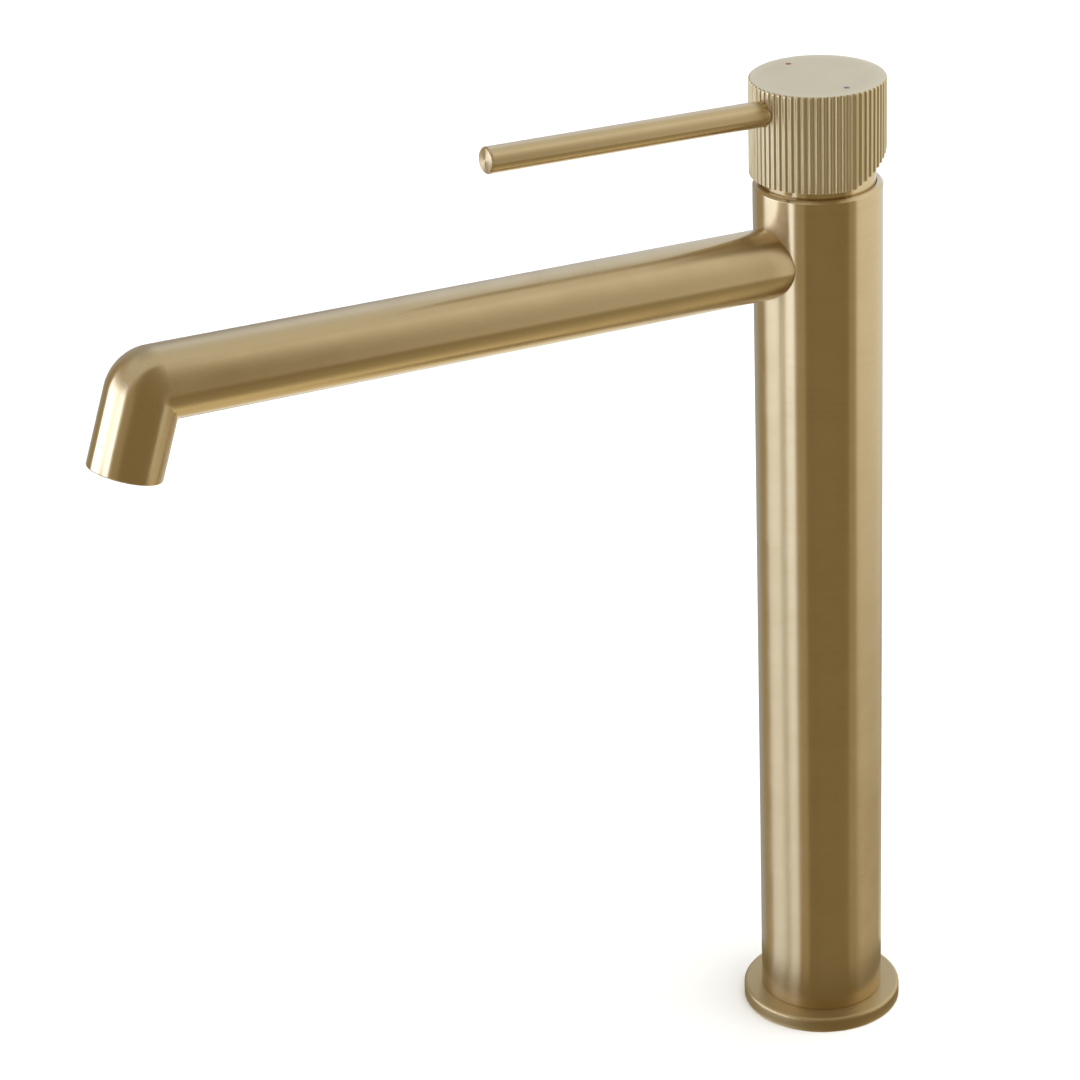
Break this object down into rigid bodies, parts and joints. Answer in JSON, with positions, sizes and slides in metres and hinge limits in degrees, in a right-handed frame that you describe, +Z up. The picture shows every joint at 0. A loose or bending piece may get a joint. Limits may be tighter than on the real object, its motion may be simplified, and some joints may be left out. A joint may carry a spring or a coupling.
{
  "type": "basin mixer tap",
  "caption": "Tall single-lever basin mixer with a fluted knob, a pin lever, a round column and a long inclined spout with a down-turned outlet.",
  "frame": {"origin": "centre of the underside of the base, on the deck plane and on the column's axis", "axes": "+Z up along the column; -Y towards the user, along the spout and the lever at rest; -X the hot side, +X the cold side"},
  "size_m": [0.052, 0.2761, 0.3269],
  "materials": {
    "brushed_gold": "fine circumferential brushing, pale champagne gold",
    "raw_brass": "plain turned brass",
    "copper": "drawn copper tube",
    "steel": "plain stainless steel",
    "ceramic": "lapped alumina ceramic",
    "acetal": "moulded acetal",
    "rubber": "moulded rubber",
    "hot_enamel": "dull red inlay",
    "cold_enamel": "blue-grey inlay"
  },
  "bodies": {
    "root": {"column_tube": "brushed_gold", "base_flange": "brushed_gold", "base_gasket": "rubber", "inlet_block": "raw_brass", "column_seal": "rubber", "hot_riser": "copper", "cold_riser": "copper", "hot_riser_lower_seal": "rubber", "hot_riser_upper_seal": "rubber", "cold_riser_lower_seal": "rubber", "cold_riser_upper_seal": "rubber", "valve_core": "raw_brass", "spout_nipple": "raw_brass", "spout_nipple_seal": "rubber", "spout_adapter": "raw_brass", "spout_tube": "brushed_gold", "aerator_housing": "brushed_gold", "aerator_insert": "acetal", "aerator_screen": "steel", "aerator_washer": "rubber", "cartridge_housing": "acetal", "cartridge_base": "acetal", "fixed_disc": "ceramic", "hot_seat_seal": "rubber", "cold_seat_seal": "rubber", "outlet_seat_seal": "rubber", "cartridge_nut": "raw_brass", "neck_ring": "brushed_gold"},
    "rotor": {"cartridge_rotor": "acetal", "spindle_pin": "steel"},
    "disc": {"moving_disc": "ceramic", "disc_carrier": "acetal"},
    "handle": {"spindle": "raw_brass", "handle_knob": "brushed_gold", "lever_rod": "brushed_gold", "grub_screw": "steel", "hot_index": "hot_enamel", "cold_index": "cold_enamel"}
  },
  "joints": [
    {"name": "temperature_turn", "type": "hinge", "parent": "root", "child": "rotor", "pos_m": [0, 0, 0.291], "axis": [0, 0, 1], "range_deg": [-50, 50]},
    {"name": "lever_lift", "type": "hinge", "parent": "rotor", "child": "handle", "pos_m": [0, 0, 0.291], "axis": [-1, 0, 0], "range_deg": [0, 24]},
    {"name": "disc_slide", "type": "slide", "parent": "rotor", "child": "disc", "axis": [0, -1, 0], "range_m": [0, 0.00236]}
  ],
  "couplings": [
    {"joint": "disc_slide", "follows": "lever_lift", "m_per_rad": 0.0056}
  ]
}
